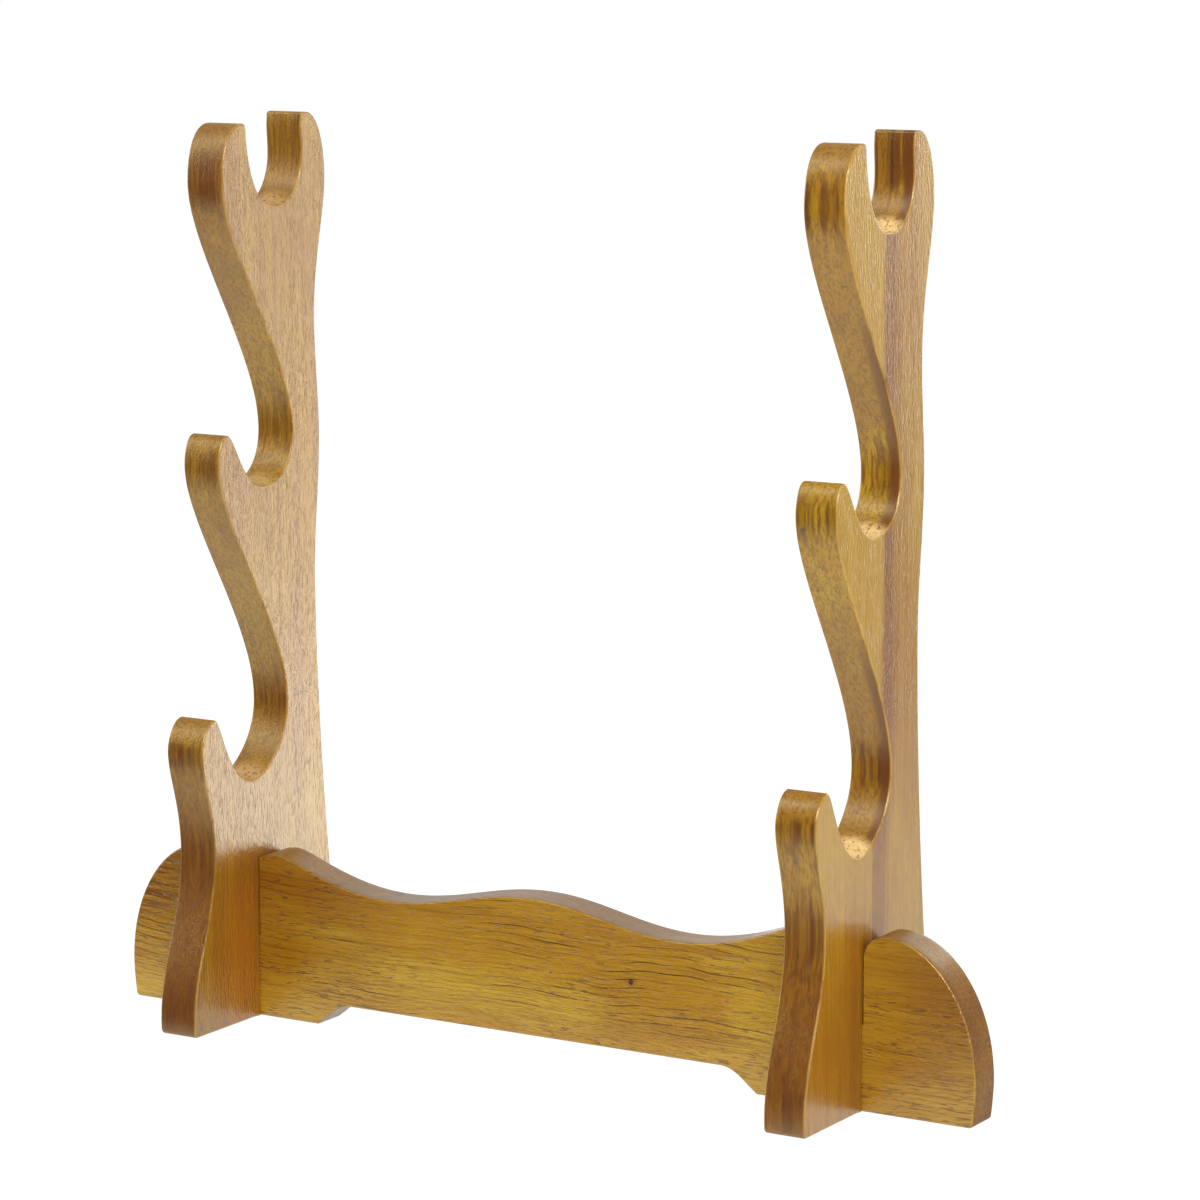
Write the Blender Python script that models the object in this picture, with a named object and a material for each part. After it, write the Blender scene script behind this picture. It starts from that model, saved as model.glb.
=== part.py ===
"""Three-tier wooden stand that slots together from three boards.

Two identical uprights carry three long, slim things across them: one in the
U-shaped notch at the top and one in each hook on the front edge.  One cross
board keeps them upright.  Board and uprights cross in halving joints: the
board is slotted from above, each upright from below, and the uprights drop
down onto the board.  Nothing is glued, screwed or pinned.

Metres, +Z up.  +X runs along the board, -Y is the front with the hooks, and
the origin is on the floor under the middle of the whole stand.

In the outlines below a height is measured from the floor, and a depth is
measured backwards from the front face of the cross board, so what stands in
front of the board has a negative depth.
"""

from math import acos, ceil, cos, degrees, radians, sin

import bmesh
import bpy
import numpy as np

# --- Stock and fits ---------------------------------------------------------

UPRIGHT_THICKNESS = 0.0180
BOARD_THICKNESS = 0.0165
JOINT_CLEARANCE = 0.0003      # gap between an upright's slot and the board
BOARD_SLOT_CLEARANCE = 0.0005  # the looser gap between a board's slot and an upright
LAP_HEIGHT = 0.0350           # where board slot and upright slot meet
ROUND_OVER = 0.0016           # radius routed along every long edge
ROUND_OVER_STEPS = 3
UPRIGHT_SPACING = 0.2885      # centre to centre

# --- Cross board ------------------------------------------------------------

BOARD_LENGTH = 0.4052
CREST_HEIGHT = 0.0667         # top edge at the middle
DIP_HEIGHT = 0.0574           # lowest place of the top edge
DIP_FROM_MIDDLE = 0.0690
SHOULDER_HEIGHT = 0.0705      # top edge just inside each upright
SHOULDER_FROM_SLOT = 0.0090   # shoulder's top to the slot's wall
SHOULDER_FALL = 0.0022        # how far the shoulder falls again to the slot
WING_MOUTH_RISE = 0.0098      # rounded corner between slot and wing
WING_MOUTH_RUN = 0.0095
WING_HEIGHT = 0.0708
WING_END_HEIGHT = 0.0160      # where the wing is at its longest
WING_TUCK = 0.0011            # how far the end falls back to the floor
RELIEF_RISE = 0.0095          # hollow under the board between its two soles
RELIEF_HALF_LENGTH = 0.0890   # half of the hollow's straight roof
RELIEF_RAMP = 0.0172          # length of the slope at each end of the hollow
CORNER_RADIUS = 0.0020        # outline corners at the floor

# --- Uprights: front edge ---------------------------------------------------

FRONT_FOOT_REACH = 0.0458     # ahead of the board's front face
BACK_FOOT_REACH = 0.0445      # behind the board's back face
FRONT_FOOT_SLOPE = 94.0       # degrees, direction in which the foot's edge rises
WAIST_HEIGHT = 0.0750
WAIST_REACH = 0.0302

LOWER_SEAT_HEIGHT = 0.1016
LOWER_SEAT_DEPTH = -0.0020
LOWER_TIP_RISE = 0.0300
LOWER_TIP_REACH = 0.0262
LOWER_NOSE_DROP = 0.0135
LOWER_NOSE_REACH = 0.0096
LOWER_BAY_RISE = 0.0300
LOWER_BAY_DEPTH = 0.0248

MIDDLE_SEAT_HEIGHT = 0.2249
MIDDLE_SEAT_DEPTH = 0.0085
MIDDLE_TIP_RISE = 0.0238
MIDDLE_TIP_REACH = 0.0245
MIDDLE_NOSE_DROP = 0.0132
MIDDLE_NOSE_REACH = 0.0066
MIDDLE_BAY_RISE = 0.0218
MIDDLE_BAY_DEPTH = 0.0208

# --- Uprights: top notch and horns ------------------------------------------

NOTCH_FRONT_DEPTH = 0.0000    # notch's front corner, level with the board's face
NOTCH_WIDTH = 0.0390
NOTCH_FLOOR_HEIGHT = 0.3408
NOTCH_FLOOR_DEPTH = 0.0210
NOTCH_WALL_RISE = 0.0215      # floor to the start of the straight back wall
FRONT_HORN_HEIGHT = 0.3758
FRONT_HORN_TOP = 0.0025       # length of the horn's flat top
FRONT_HORN_NOSE_DROP = 0.0240
FRONT_HORN_NOSE_REACH = 0.0168
BACK_HORN_HEIGHT = 0.3785
BACK_HORN_TOP = 0.0042
BACK_HORN_THICKNESS = 0.0168
BACK_HORN_BULGE_DROP = 0.0268

# --- Uprights: back edge ----------------------------------------------------

UPPER_WAIST_HEIGHT = 0.2920
UPPER_WAIST_DEPTH = 0.0468
BACK_BULGE_HEIGHT = 0.2450
BACK_BULGE_DEPTH = 0.0492
LOWER_WAIST_HEIGHT = 0.1820
LOWER_WAIST_DEPTH = 0.0448
BACK_FOOT_SLOPE = -78.0       # degrees, direction in which the heel's edge falls

# --- How finely curves are cut into facets ----------------------------------

FACET_TURN = 8.0              # most degrees that the outline turns at one point
FACET_LENGTH = 0.0150         # longest facet on a curve

# Headings of an outline, in degrees in its own plane
UP, DOWN, AHEAD, BACK = 90.0, -90.0, 180.0, 0.0

# Depth of the stand's middle, so that the origin is under the middle
HEEL_DEPTH = BOARD_THICKNESS + BACK_FOOT_REACH
MIDDLE_DEPTH = (HEEL_DEPTH - FRONT_FOOT_REACH) / 2


class Outline:
    """A closed outline drawn with straight lines and cubic curves."""

    def __init__(self, *start):
        self.points = [np.array(start)]

    def line(self, *end):
        """Straight on to the point end."""
        self.points.append(np.array(end))
        return self

    def bend(self, end, headings, grips):
        """A cubic curve to end, which leaves and arrives in two headings.

        The curve's handles lie along the headings.  Each is as long as its
        grip says, as a share of the straight distance to the end.
        """
        start, end = self.points[-1], np.array(end)
        reach = np.linalg.norm(end - start)
        leave, arrive = (
            np.array((cos(radians(heading)), sin(radians(heading))))
            for heading in headings
        )
        knots = (
            start,
            start + leave * reach * grips[0],
            end - arrive * reach * grips[1],
            end,
        )
        legs = [b - a for a, b in zip(knots, knots[1:])]
        turn = sum(angle_between(a, b) for a, b in zip(legs, legs[1:]))
        steps = max(ceil(turn / FACET_TURN), ceil(reach / FACET_LENGTH))
        for t in np.linspace(0.0, 1.0, steps + 1)[1:]:
            self.points.append(
                (1 - t) ** 3 * knots[0]
                + 3 * (1 - t) ** 2 * t * knots[1]
                + 3 * (1 - t) * t ** 2 * knots[2]
                + t ** 3 * knots[3]
            )
        return self

    def mirrored(self):
        """The outline with its mirror image across the line x = 0."""
        mirror = [point * (-1, 1) for point in reversed(self.points)]
        both = Outline(0.0, 0.0)
        both.points = self.points + mirror
        return both


def angle_between(a, b):
    """Degrees between two directions in the outline's plane."""
    lengths = np.linalg.norm(a) * np.linalg.norm(b)
    if lengths == 0.0:
        return 0.0
    return degrees(acos(max(-1.0, min(1.0, float(a @ b) / lengths))))


# --- The outlines -----------------------------------------------------------

def hook(outline, seat, tip_from_seat, nose_from_tip, bay_from_seat, grips):
    """One hook: up round its nose and tip, down into the seat, up into the bay.

    seat is the depth and height of its lowest point.  Each of the others is a
    step from the point that it names, and grips has one pair for each curve.
    """
    tip = np.add(seat, tip_from_seat)
    nose = np.add(tip, nose_from_tip)
    bay = np.add(seat, bay_from_seat)
    outline.bend(nose, (UP, UP), grips[0])
    outline.bend(tip, (UP, BACK), grips[1])
    outline.bend(seat, (BACK, BACK), grips[2])
    outline.bend(bay, (BACK, UP), grips[3])


def upright_outline():
    """Depths and heights round one upright, from its front foot and over the top."""
    notch_back = NOTCH_FRONT_DEPTH + NOTCH_WIDTH
    horn_back = NOTCH_FRONT_DEPTH - FRONT_HORN_TOP
    foot_front = -FRONT_FOOT_REACH
    drawn = Outline(foot_front + CORNER_RADIUS, 0.0)
    drawn.bend((foot_front, CORNER_RADIUS), (AHEAD, FRONT_FOOT_SLOPE), (0.4, 0.4))
    drawn.bend((-WAIST_REACH, WAIST_HEIGHT), (FRONT_FOOT_SLOPE, UP), (0.34, 0.38))
    hook(drawn, (LOWER_SEAT_DEPTH, LOWER_SEAT_HEIGHT),
         tip_from_seat=(-LOWER_TIP_REACH, LOWER_TIP_RISE),
         nose_from_tip=(-LOWER_NOSE_REACH, -LOWER_NOSE_DROP),
         bay_from_seat=(LOWER_BAY_DEPTH, LOWER_BAY_RISE),
         grips=((0.46, 0.24), (0.38, 0.30), (0.12, 0.42), (0.18, 0.46)))
    hook(drawn, (MIDDLE_SEAT_DEPTH, MIDDLE_SEAT_HEIGHT),
         tip_from_seat=(-MIDDLE_TIP_REACH, MIDDLE_TIP_RISE),
         nose_from_tip=(-MIDDLE_NOSE_REACH, -MIDDLE_NOSE_DROP),
         bay_from_seat=(MIDDLE_BAY_DEPTH, MIDDLE_BAY_RISE),
         grips=((0.28, 0.21), (0.45, 0.28), (0.16, 0.40), (0.44, 0.42)))
    horn_nose = (NOTCH_FRONT_DEPTH - FRONT_HORN_NOSE_REACH,
                 FRONT_HORN_HEIGHT - FRONT_HORN_NOSE_DROP)
    drawn.bend(horn_nose, (UP, UP), (0.26, 0.23))
    drawn.bend((horn_back, FRONT_HORN_HEIGHT), (UP, BACK), (0.50, 0.32))
    drawn.line(NOTCH_FRONT_DEPTH, FRONT_HORN_HEIGHT)
    drawn.bend((NOTCH_FLOOR_DEPTH, NOTCH_FLOOR_HEIGHT), (-86.0, BACK), (0.54, 0.33))
    drawn.bend((notch_back, NOTCH_FLOOR_HEIGHT + NOTCH_WALL_RISE),
               (BACK, UP), (0.37, 0.43))
    drawn.line(notch_back, BACK_HORN_HEIGHT)
    drawn.line(notch_back + BACK_HORN_TOP, BACK_HORN_HEIGHT)
    horn_bulge = (notch_back + BACK_HORN_THICKNESS,
                  BACK_HORN_HEIGHT - BACK_HORN_BULGE_DROP)
    drawn.bend(horn_bulge, (BACK, DOWN), (0.25, 0.50))
    drawn.bend((UPPER_WAIST_DEPTH, UPPER_WAIST_HEIGHT), (DOWN, DOWN), (0.26, 0.40))
    drawn.bend((BACK_BULGE_DEPTH, BACK_BULGE_HEIGHT), (DOWN, DOWN), (0.38, 0.30))
    drawn.bend((LOWER_WAIST_DEPTH, LOWER_WAIST_HEIGHT), (DOWN, DOWN), (0.38, 0.36))
    drawn.bend((HEEL_DEPTH, CORNER_RADIUS), (DOWN, BACK_FOOT_SLOPE), (0.33, 0.24))
    drawn.bend((HEEL_DEPTH - CORNER_RADIUS, 0.0), (BACK_FOOT_SLOPE, AHEAD), (0.4, 0.4))
    return drawn


def board_outline():
    """Lengths and heights round the cross board, drawn for one half and mirrored."""
    inner_wall = UPRIGHT_SPACING / 2 - UPRIGHT_THICKNESS / 2 - BOARD_SLOT_CLEARANCE
    outer_wall = UPRIGHT_SPACING / 2 + UPRIGHT_THICKNESS / 2 + BOARD_SLOT_CLEARANCE
    end = BOARD_LENGTH / 2
    half = Outline(0.0, CREST_HEIGHT)
    half.bend((DIP_FROM_MIDDLE, DIP_HEIGHT), (BACK, BACK), (0.37, 0.37))
    half.bend((inner_wall - SHOULDER_FROM_SLOT, SHOULDER_HEIGHT),
              (BACK, BACK), (0.50, 0.12))
    half.bend((inner_wall, SHOULDER_HEIGHT - SHOULDER_FALL), (BACK, -30.0), (0.40, 0.30))
    half.line(outer_wall, WING_HEIGHT - WING_MOUTH_RISE)
    half.bend((outer_wall + WING_MOUTH_RUN, WING_HEIGHT), (UP, BACK), (0.42, 0.42))
    half.bend((end, WING_END_HEIGHT), (BACK, DOWN), (0.32, 0.45))
    half.bend((end - WING_TUCK, CORNER_RADIUS), (DOWN, -96.0), (0.33, 0.33))
    half.bend((end - WING_TUCK - CORNER_RADIUS, 0.0), (-96.0, AHEAD), (0.4, 0.4))
    half.line(RELIEF_HALF_LENGTH + RELIEF_RAMP, 0.0)
    half.bend((RELIEF_HALF_LENGTH, RELIEF_RISE), (150.0, AHEAD), (0.30, 0.38))
    half.line(0.0, RELIEF_RISE)
    return half.mirrored()


# --- Making the boards ------------------------------------------------------

def slab(name, outline, thickness, place):
    """A board cut to an outline, with every long edge rounded over.

    place turns the outline's two coordinates and a distance through the
    thickness, from minus half of it to plus half, into a point.
    """
    points = without_repeats(outline.points)
    shape = bmesh.new()
    near = [shape.verts.new(place(a, b, -thickness / 2)) for a, b in points]
    sheet = shape.faces.new(near)
    far = place(0.0, 0.0, thickness) - place(0.0, 0.0, 0.0)
    grown = bmesh.ops.extrude_face_region(shape, geom=[sheet])
    moved = [item for item in grown["geom"] if isinstance(item, bmesh.types.BMVert)]
    bmesh.ops.translate(shape, vec=far, verts=moved)
    bmesh.ops.recalc_face_normals(shape, faces=shape.faces)
    mesh = bpy.data.meshes.new(name)
    shape.to_mesh(mesh)
    shape.free()
    board = bpy.data.objects.new(name, mesh)
    bpy.context.scene.collection.objects.link(board)
    mesh.shade_smooth()
    mesh.set_sharp_from_angle(angle=radians(35.0))
    rounded = board.modifiers.new("Round-over", "BEVEL")
    rounded.width = ROUND_OVER
    rounded.segments = ROUND_OVER_STEPS
    rounded.limit_method = "ANGLE"
    rounded.angle_limit = radians(60.0)
    return board


def without_repeats(points):
    """The outline's points without one that lies on the point before it."""
    kept = []
    for point in points:
        if not kept or np.linalg.norm(point - kept[-1]) > 1e-6:
            kept.append(point)
    if np.linalg.norm(kept[0] - kept[-1]) < 1e-6:
        kept.pop()
    return kept


def cut_slot(board, name, low, high):
    """Cut the box from low to high, in the board's own frame, out of the board."""
    low, high = np.array(low), np.array(high)
    shape = bmesh.new()
    bmesh.ops.create_cube(shape, size=1.0)
    for vert in shape.verts:
        vert.co = (low + high) / 2 + np.array(vert.co) * (high - low)
    mesh = bpy.data.meshes.new(name)
    shape.to_mesh(mesh)
    shape.free()
    cutter = bpy.data.objects.new(name, mesh)
    bpy.context.scene.collection.objects.link(cutter)
    cutter.parent = board
    cutter.hide_render = True
    cutter.display_type = "WIRE"
    cut = board.modifiers.new(name, "BOOLEAN")
    cut.operation = "DIFFERENCE"
    cut.solver = "EXACT"
    cut.object = cutter


def lacquered_wood(name, colour, roughness):
    """A plain satin wood finish."""
    finish = bpy.data.materials.new(name)
    finish.use_nodes = True
    shader = finish.node_tree.nodes["Principled BSDF"]
    shader.inputs["Base Color"].default_value = (*colour, 1.0)
    shader.inputs["Roughness"].default_value = roughness
    shader.inputs["Metallic"].default_value = 0.0
    return finish


def make_upright(name, across, finish):
    """One upright, centred at the distance across from the stand's middle."""
    upright = slab(
        name, upright_outline(), UPRIGHT_THICKNESS,
        lambda depth, height, through: np.array((through, depth - MIDDLE_DEPTH, height)),
    )
    upright.location = (across, 0.0, 0.0)
    upright.data.materials.append(finish)
    cut_slot(
        upright, name + "_slot",
        (-UPRIGHT_THICKNESS, -JOINT_CLEARANCE - MIDDLE_DEPTH, -LAP_HEIGHT),
        (UPRIGHT_THICKNESS, BOARD_THICKNESS + JOINT_CLEARANCE - MIDDLE_DEPTH,
         LAP_HEIGHT + JOINT_CLEARANCE / 2),
    )
    return upright


def make_cross_board(finish):
    """The cross board with its two slots, open at the top."""
    board = slab(
        "cross_board", board_outline(), BOARD_THICKNESS,
        lambda along, height, through: np.array((along, through, height)),
    )
    board.location = (0.0, BOARD_THICKNESS / 2 - MIDDLE_DEPTH, 0.0)
    board.data.materials.append(finish)
    half_width = UPRIGHT_THICKNESS / 2 + BOARD_SLOT_CLEARANCE
    above = WING_HEIGHT + SHOULDER_HEIGHT
    for side, name in ((-1, "left_board_slot"), (1, "right_board_slot")):
        centre = side * UPRIGHT_SPACING / 2
        cut_slot(
            board, name,
            (centre - half_width, -BOARD_THICKNESS, LAP_HEIGHT - JOINT_CLEARANCE / 2),
            (centre + half_width, BOARD_THICKNESS, above),
        )
    return board


def clear_scene():
    """Remove what a new file holds."""
    for item in list(bpy.data.objects):
        bpy.data.objects.remove(item)


def main():
    clear_scene()
    side_wood = lacquered_wood("upright_wood", (0.42, 0.20, 0.055), 0.32)
    board_wood = lacquered_wood("cross_board_wood", (0.36, 0.16, 0.022), 0.32)
    make_upright("left_upright", -UPRIGHT_SPACING / 2, side_wood)
    make_upright("right_upright", UPRIGHT_SPACING / 2, side_wood)
    make_cross_board(board_wood)


main()
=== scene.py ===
# %% [markdown]
# # A three-tier wooden stand
#
# The real object is three boards that slot together: two uprights with hooks
# cut into their front edge, and one cross board.  The packed model already has
# the boards at their right sizes and places.  This lesson gives each board a
# smooth sawn outline with a routed round-over, and a lacquered wood finish
# that is solid all through, so grain runs on from a face over an edge.

from math import cos, pi, radians, sin

import bmesh
import bpy
import numpy as np
from mathutils import Matrix, Vector


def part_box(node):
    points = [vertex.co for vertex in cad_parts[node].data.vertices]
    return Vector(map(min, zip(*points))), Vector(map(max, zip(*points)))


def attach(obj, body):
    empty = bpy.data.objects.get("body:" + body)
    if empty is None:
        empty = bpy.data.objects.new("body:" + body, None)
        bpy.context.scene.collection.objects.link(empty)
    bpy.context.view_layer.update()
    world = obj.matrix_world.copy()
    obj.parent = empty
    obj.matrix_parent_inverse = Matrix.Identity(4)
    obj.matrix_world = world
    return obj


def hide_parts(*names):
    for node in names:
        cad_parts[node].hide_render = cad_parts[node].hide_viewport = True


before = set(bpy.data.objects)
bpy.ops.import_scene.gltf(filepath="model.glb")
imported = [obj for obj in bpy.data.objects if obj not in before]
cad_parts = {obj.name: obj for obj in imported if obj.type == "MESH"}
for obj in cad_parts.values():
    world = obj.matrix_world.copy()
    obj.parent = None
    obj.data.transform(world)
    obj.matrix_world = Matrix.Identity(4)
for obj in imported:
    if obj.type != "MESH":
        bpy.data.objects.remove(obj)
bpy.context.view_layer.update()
print("boards in the frame:", sorted(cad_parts))

# %% [markdown]
# ## The sawn outline of a board
#
# Each board was sawn from a plank along a drawn line, so its shape is one
# outline carried through the thickness.  The packed solid holds that outline
# with a few flat facets.  Cutting the solid through the middle of its
# thickness gives the outline back, which is better than typing it in again,
# because it can never differ from the solid.

# %% Cut a solid through its middle
X, Y, Z = 0, 1, 2
MERGE_DISTANCE = 1e-6


def middle_outline(node, across):
    """The loop of points where the middle plane of a node's thickness cuts it."""
    low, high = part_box(node)
    middle = (low[across] + high[across]) / 2
    normal = Vector((0.0, 0.0, 0.0))
    normal[across] = 1.0
    solid = bmesh.new()
    solid.from_mesh(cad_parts[node].data)
    bmesh.ops.remove_doubles(solid, verts=solid.verts, dist=MERGE_DISTANCE)
    bmesh.ops.bisect_plane(
        solid, geom=solid.verts[:] + solid.edges[:] + solid.faces[:],
        plane_co=normal * middle, plane_no=normal, clear_inner=True, clear_outer=True,
    )
    bmesh.ops.remove_doubles(solid, verts=solid.verts, dist=MERGE_DISTANCE)
    start = solid.edges[:][0]
    loop, corner, edge = [start.verts[0]], start.verts[1], start
    while corner is not loop[0]:
        loop.append(corner)
        edge = next(e for e in corner.link_edges if e is not edge)
        corner = edge.other_vert(corner)
    points = np.array([v.co[:] for v in loop])
    solid.free()
    return points


rough = middle_outline("left_upright", X)
print("corners and facets round the left upright:", len(rough))

# %% [markdown]
# ## A smooth line through the facets
#
# A curve through given points can be a B-spline, which misses them, or a
# Catmull-Rom curve, which passes through every one.  The saw line must stay on
# the solid's corners, so the second is right.  Long facets are real straight
# lines and stay straight, and sharp turns stay corners.

# %% Smooth the outline and walk round it in even steps
SHARP_TURN = radians(40.0)
FLAT_TURN = radians(0.05)
SHORTEST_FACET = 0.0002
STRAIGHT_LENGTH = 0.0155
STEP_LENGTH = 0.0006
STEP_TURN = radians(6.0)


def directions(points):
    """Unit vector and length from each point to the next one round the loop."""
    step = np.roll(points, -1, axis=0) - points
    length = np.linalg.norm(step, axis=1)
    return step / length[:, None], length


def turns(points):
    """Angle in radians, at each point, between the step to it and the step from it."""
    ahead, _ = directions(points)
    behind = np.roll(ahead, 1, axis=0)
    return np.arccos(np.clip((ahead * behind).sum(axis=1), -1.0, 1.0))


def smooth_outline(points):
    """Points every STEP_LENGTH along a curve through the given loop of 2-D points.

    Between two points the curve is Hermite's: (2u3 - 3u2 + 1) p + (u3 - 2u2 + u) a
    + (3u2 - 2u3) q + (u3 - u2) b, where u runs from 0 to 1 and u2, u3 are its powers,
    p and q are the points, and a and b are the headings there times the distance.
    """
    points = points[turns(points) > FLAT_TURN]
    points = points[np.roll(directions(points)[1], 1) > SHORTEST_FACET]
    ahead, length = directions(points)
    behind, length_behind = np.roll(ahead, 1, axis=0), np.roll(length, 1)
    near, far = np.sqrt(length_behind)[:, None], np.sqrt(length)[:, None]
    blend = (behind * far + ahead * near) / (near + far)
    blend /= np.linalg.norm(blend, axis=1)[:, None]
    sharp = turns(points) > SHARP_TURN
    straight = length > STRAIGHT_LENGTH
    straight_behind = np.roll(straight, 1)
    leave = np.where((sharp | straight)[:, None], ahead,
                     np.where(straight_behind[:, None], behind, blend))
    arrive = np.where((sharp | straight_behind)[:, None], behind,
                      np.where(straight[:, None], ahead, blend))
    arrive = np.roll(arrive, -1, axis=0)
    following = np.roll(points, -1, axis=0)
    turning = turns(points)
    turning = np.where(sharp, 0.0, turning)
    turning = (turning + np.roll(turning, -1)) / 2
    counts = np.maximum(np.ceil(turning / STEP_TURN), np.round(length / STEP_LENGTH))
    counts = np.maximum(counts, 1).astype(int)
    piece = np.repeat(np.arange(len(points)), counts)
    first = np.cumsum(counts) - counts
    u = ((np.arange(counts.sum()) - first[piece]) / counts[piece])[:, None]
    reach = length[piece][:, None]
    return (
        (2 * u ** 3 - 3 * u ** 2 + 1) * points[piece]
        + (u ** 3 - 2 * u ** 2 + u) * leave[piece] * reach
        + (3 * u ** 2 - 2 * u ** 3) * following[piece]
        + (u ** 3 - u ** 2) * arrive[piece] * reach
    )


upright_line = smooth_outline(rough[:, [Y, Z]])
print("stations round the left upright:", len(upright_line))

# %% [markdown]
# ## The routed edge
#
# A router with a small quarter-round bit ran along every long edge of the
# boards before the finish went on.  A Bevel modifier could do that, but it
# stumbles where the outline curves tightly.  Carrying a profile along the
# outline gives an even round-over, and lets it fade out in the slots, which
# were sawn later and have crisp edges.

# %% Carry the edge profile round the outline
ROUND_OVER = 0.0009
CRISP_EDGE = 0.00012
FADE_LENGTH = 0.0030
ARC_STEPS = 6
EDGE_STEPS = 6
FACE_MARGIN = 0.0001
FITTING_ROUNDS, FITTING_REACH = 40, 5
SHORTEST_SHARE, SHRINK = 0.12, 0.85


def edge_profile(thickness, radius):
    """How far in from the outline, and through the board, each point of the profile lies.

    A quarter circle, the square edge, and a quarter circle again: at the angle t
    the arc lies radius (1 - sin t) in, and radius (1 - cos t) from the face.
    """
    t = np.linspace(0.0, pi / 2, ARC_STEPS + 1)
    arc_in, arc_through = np.outer(radius, 1 - np.sin(t)), np.outer(radius, 1 - np.cos(t))
    half = thickness / 2
    level = np.linspace(0.0, 1.0, EDGE_STEPS + 1)[1:-1]
    flat = radius[:, None] - half + level * (thickness - 2 * radius[:, None])
    face = radius[:, None] + FACE_MARGIN
    inwards = np.hstack([face, arc_in, 0 * flat, arc_in[:, ::-1], face])
    through = np.hstack([0 * face - half, arc_through - half, flat,
                         half - arc_through[:, ::-1], 0 * face + half])
    return inwards, through


def inward_normals(outline):
    """Unit vectors that point into the board, a quarter turn from the outline's run."""
    run = np.roll(outline, -1, axis=0) - np.roll(outline, 1, axis=0)
    run /= np.linalg.norm(run, axis=1)[:, None]
    area = np.sum(outline[:, 0] * np.roll(outline[:, 1], -1)
                  - outline[:, 1] * np.roll(outline[:, 0], -1))
    side = 1.0 if area > 0 else -1.0
    return side * np.stack([-run[:, 1], run[:, 0]], axis=1)


def smoothstep(x, low, high):
    """0 below low and 1 above high, with an even rise of 3x2 - 2x3 between them."""
    x = np.clip((x - low) / (high - low), 0.0, 1.0)
    return x * x * (3 - 2 * x)


def fitting_radius(outline, radius):
    """The radius made smaller where it would carry the inner line back over itself.

    An inner step shorter than SHORTEST_SHARE of its outer step shrinks the radii
    around it, and each round ends by evening every radius out with its neighbours.
    """
    run = np.roll(outline, -1, axis=0) - outline
    normals = inward_normals(outline)
    for _ in range(FITTING_ROUNDS):
        inner = outline + (radius + FACE_MARGIN)[:, None] * normals
        inner_run = np.roll(inner, -1, axis=0) - inner
        tight = (run * inner_run).sum(axis=1) < SHORTEST_SHARE * (run * run).sum(axis=1)
        if not tight.any():
            break
        reach = range(-FITTING_REACH, FITTING_REACH + 1)
        around = np.any([np.roll(tight, shift) for shift in reach], axis=0)
        radius = np.where(around & (radius > CRISP_EDGE), SHRINK * radius, radius)
        radius = np.mean([np.roll(radius, shift) for shift in (-1, 0, 1)], axis=0)
    return radius


def board_surface(outline, thickness, radius):
    """Grid of in-plane points and depths: one row for each station of the outline."""
    inwards, through = edge_profile(thickness, radius)
    plane = outline[:, None, :] + inwards[:, :, None] * inward_normals(outline)[:, None, :]
    return plane, through


upright_low, upright_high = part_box("left_upright")
thickness = upright_high[X] - upright_low[X]
plane, _ = board_surface(upright_line, thickness, np.full(len(upright_line), ROUND_OVER))
print("grid round the left upright:", plane.shape[:2])

# %% Turn the grid into a closed mesh
def closed_mesh(name, grid, arris):
    """A tube of quads round the grid's rows, with one flat face on each side of the board.

    arris is 1 in the middle of each round-over and 0 on the flats, for worn edges with a painted
    highlight.
    """
    rows, columns = grid.shape[:2]
    index = np.arange(rows * columns).reshape(rows, columns)
    after = np.roll(index, -1, axis=0)
    quads = np.stack([index[:, :-1], index[:, 1:], after[:, 1:], after[:, :-1]], axis=-1)
    faces = quads.reshape(-1, 4).tolist() + [index[:, 0].tolist(), index[::-1, -1].tolist()]
    mesh = bpy.data.meshes.new(name)
    mesh.from_pydata(grid.reshape(-1, 3), [], faces)
    attribute = mesh.attributes.new("arris", "FLOAT", "POINT")
    attribute.data.foreach_set("value", np.tile(arris, rows).astype(np.float32))
    shape = bmesh.new()
    shape.from_mesh(mesh)
    bmesh.ops.remove_doubles(shape, verts=shape.verts, dist=MERGE_DISTANCE)
    bmesh.ops.recalc_face_normals(shape, faces=shape.faces)
    shape.to_mesh(mesh)
    shape.free()
    mesh.shade_smooth()
    return mesh


# %% Make the three boards
LAP_HEIGHT = 0.035
SLOT_MARGIN = 0.0006
BELOW_FLOOR, ABOVE_ALL = -0.001, 1.0


def outside_box(points, low, high):
    """Distance of 2-D points to a box, which is 0 inside it."""
    gap = np.maximum(np.maximum(low - points, points - high), 0.0)
    return np.linalg.norm(gap, axis=1)


def make_board(node, across, crossings):
    """One board, from the node's outline, with crisp edges where another board crosses it.

    across is the axis through the board, and crossings are (low, high) boxes in the
    outline's plane.
    """
    low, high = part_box(node)
    along = [axis for axis in (X, Y, Z) if axis != across]
    outline = smooth_outline(middle_outline(node, across)[:, along])
    away = np.min([outside_box(outline, *crossing) for crossing in crossings], axis=0)
    radius = CRISP_EDGE + (ROUND_OVER - CRISP_EDGE) * smoothstep(away, 0.0, FADE_LENGTH)
    radius = fitting_radius(outline, radius)
    plane, through = board_surface(outline, high[across] - low[across], radius)
    grid = np.empty(plane.shape[:2] + (3,))
    grid[..., along] = plane
    grid[..., across] = through + (low[across] + high[across]) / 2
    rounding = np.sin(2 * np.linspace(0.0, pi / 2, ARC_STEPS + 1))
    arris = np.concatenate([[0.0], rounding, np.zeros(EDGE_STEPS - 1), rounding, [0.0]])
    piece = bpy.data.objects.new(node + "_board", closed_mesh(node + "_board", grid, arris))
    bpy.context.scene.collection.objects.link(piece)
    print(piece.name, "has", len(outline), "stations and",
          sum(len(f.vertices) - 2 for f in piece.data.polygons), "triangles")
    return piece


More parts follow.
